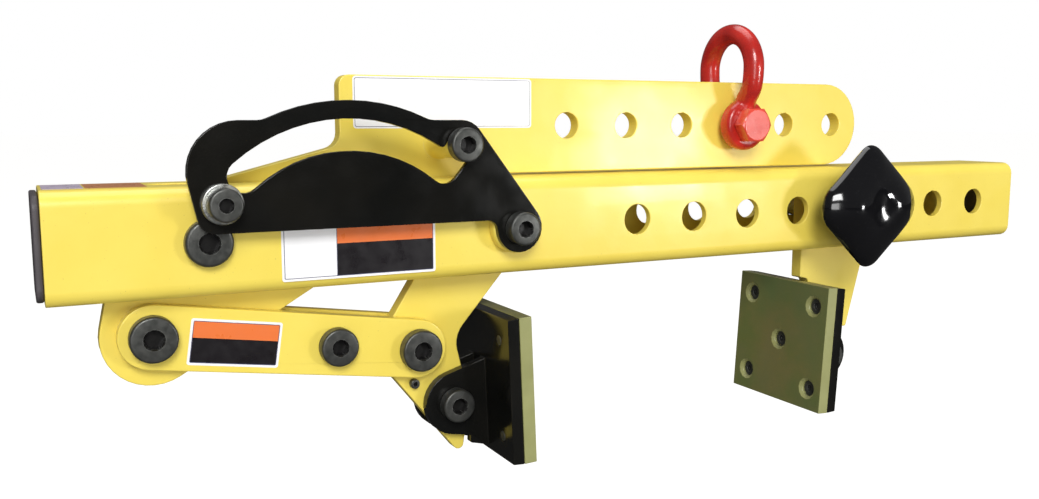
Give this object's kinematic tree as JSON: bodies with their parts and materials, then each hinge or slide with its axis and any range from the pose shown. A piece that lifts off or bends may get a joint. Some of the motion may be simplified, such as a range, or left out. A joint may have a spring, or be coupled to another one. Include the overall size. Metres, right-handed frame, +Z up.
{
  "type": "plate lifting clamp",
  "caption": "Beam lifting clamp: a square beam under a pivoting lift arm with a bow shackle, a linked swivelling moving jaw, a latch plate and an adjustable fixed jaw.",
  "frame": {"origin": "centre of the outer face of the end plug at the moving-jaw end, on the beam's axis", "axes": "+X along the beam towards the fixed jaw, -Y the side of the latch and the knob, +Z up in use"},
  "size_m": [0.9194, 0.1501, 0.3562],
  "materials": {
    "yellow_paint": "satin gloss paint",
    "black_paint": "satin paint",
    "red_paint": "gloss paint",
    "black_steel": "black oxide",
    "zinc_steel": "zinc plate",
    "friction_lining": "moulded lining, dull",
    "grey_plastic": "moulded",
    "gloss_black_plastic": "polished"
  },
  "bodies": {
    "beam": {"beam_tube": "yellow_paint", "end_plug_left": "grey_plastic", "end_plug_right": "grey_plastic", "jaw_pivot_boss": "yellow_paint", "arm_pivot_bolt": "black_steel", "arm_pivot_nut": "black_steel", "arm_pivot_spacer_front": "zinc_steel", "arm_pivot_spacer_back": "zinc_steel", "jaw_pivot_bolt": "black_steel", "jaw_pivot_nut": "black_steel", "jaw_pivot_spacer_front": "zinc_steel", "jaw_pivot_spacer_back": "zinc_steel", "fixed_leg": "yellow_paint"},
    "arm": {"lift_arm": "yellow_paint", "latch_roller_boss": "yellow_paint", "latch_roller_bolt": "black_steel"},
    "shackle": {"shackle_bow": "red_paint", "shackle_bolt": "red_paint", "shackle_nut": "zinc_steel", "shackle_cotter": "zinc_steel"},
    "link": {"link_front": "yellow_paint", "link_back": "yellow_paint", "link_spacer": "zinc_steel", "link_spacer_bolt": "black_steel", "link_spacer_nut": "black_steel", "link_arm_bolt": "black_steel", "link_arm_nut": "black_steel", "link_jaw_bolt": "black_steel", "link_jaw_nut": "black_steel"},
    "lever": {"jaw_lever": "yellow_paint", "jaw_stop_screw": "black_steel"},
    "moving_jaw": {"moving_jaw_bracket": "black_paint", "moving_jaw_pad": "friction_lining", "moving_jaw_pad_screw_1": "black_steel", "moving_jaw_pad_screw_2": "black_steel", "moving_jaw_pad_screw_3": "black_steel", "moving_jaw_pad_screw_4": "black_steel", "moving_jaw_pad_screw_5": "black_steel", "moving_jaw_bolt": "black_steel", "moving_jaw_nut": "black_steel"},
    "latch": {"latch_plate": "black_paint", "latch_knob": "zinc_steel", "latch_knob_nut": "black_steel"},
    "adjusting_pin": {"adjust_pin": "zinc_steel", "adjust_knob": "gloss_black_plastic"},
    "fixed_jaw": {"fixed_jaw_bracket": "black_paint", "fixed_jaw_pad": "friction_lining", "fixed_jaw_pad_screw_1": "black_steel", "fixed_jaw_pad_screw_2": "black_steel", "fixed_jaw_pad_screw_3": "black_steel", "fixed_jaw_pad_screw_4": "black_steel", "fixed_jaw_pad_screw_5": "black_steel", "fixed_jaw_bolt": "black_steel", "fixed_jaw_nut": "black_steel"}
  },
  "joints": [
    {"name": "arm_pivot", "type": "hinge", "parent": "beam", "child": "arm", "pos_m": [0.1065, 0, 0], "axis": [0, -1, 0], "range_deg": [0, 38]},
    {"name": "shackle_swing", "type": "hinge", "parent": "arm", "child": "shackle", "pos_m": [0.57866, 0, 0.0778], "axis": [0, -1, 0], "range_deg": [-50, 50]},
    {"name": "link_pivot", "type": "hinge", "parent": "arm", "child": "link", "pos_m": [0.0705, 0, -0.0665], "axis": [0, -1, 0], "range_deg": [-41.94, 0]},
    {"name": "jaw_pivot", "type": "hinge", "parent": "beam", "child": "lever", "pos_m": [0.3365, 0, 0], "axis": [0, -1, 0], "range_deg": [0, 24.93]},
    {"name": "moving_jaw_swivel", "type": "hinge", "parent": "lever", "child": "moving_jaw", "pos_m": [0.297, 0, -0.1435], "axis": [0, 1, 0], "range_deg": [-1, 28]},
    {"name": "latch_pivot", "type": "hinge", "parent": "beam", "child": "latch", "pos_m": [0.3365, 0, 0], "axis": [0, -1, 0], "range_deg": [-38.2, 0]},
    {"name": "adjusting_pin_slide", "type": "slide", "parent": "beam", "child": "adjusting_pin", "axis": [0, -1, 0], "range_m": [0, 0.13]},
    {"name": "fixed_jaw_swivel", "type": "hinge", "parent": "beam", "child": "fixed_jaw", "pos_m": [0.6927, 0, -0.1462], "axis": [0, 1, 0], "range_deg": [-10, 2]}
  ],
  "couplings": [
    {"joint": "jaw_pivot", "follows": "arm_pivot", "ratio": 0.6507},
    {"joint": "link_pivot", "follows": "arm_pivot", "ratio": -1.0984},
    {"joint": "latch_pivot", "follows": "arm_pivot", "ratio": -1}
  ]
}
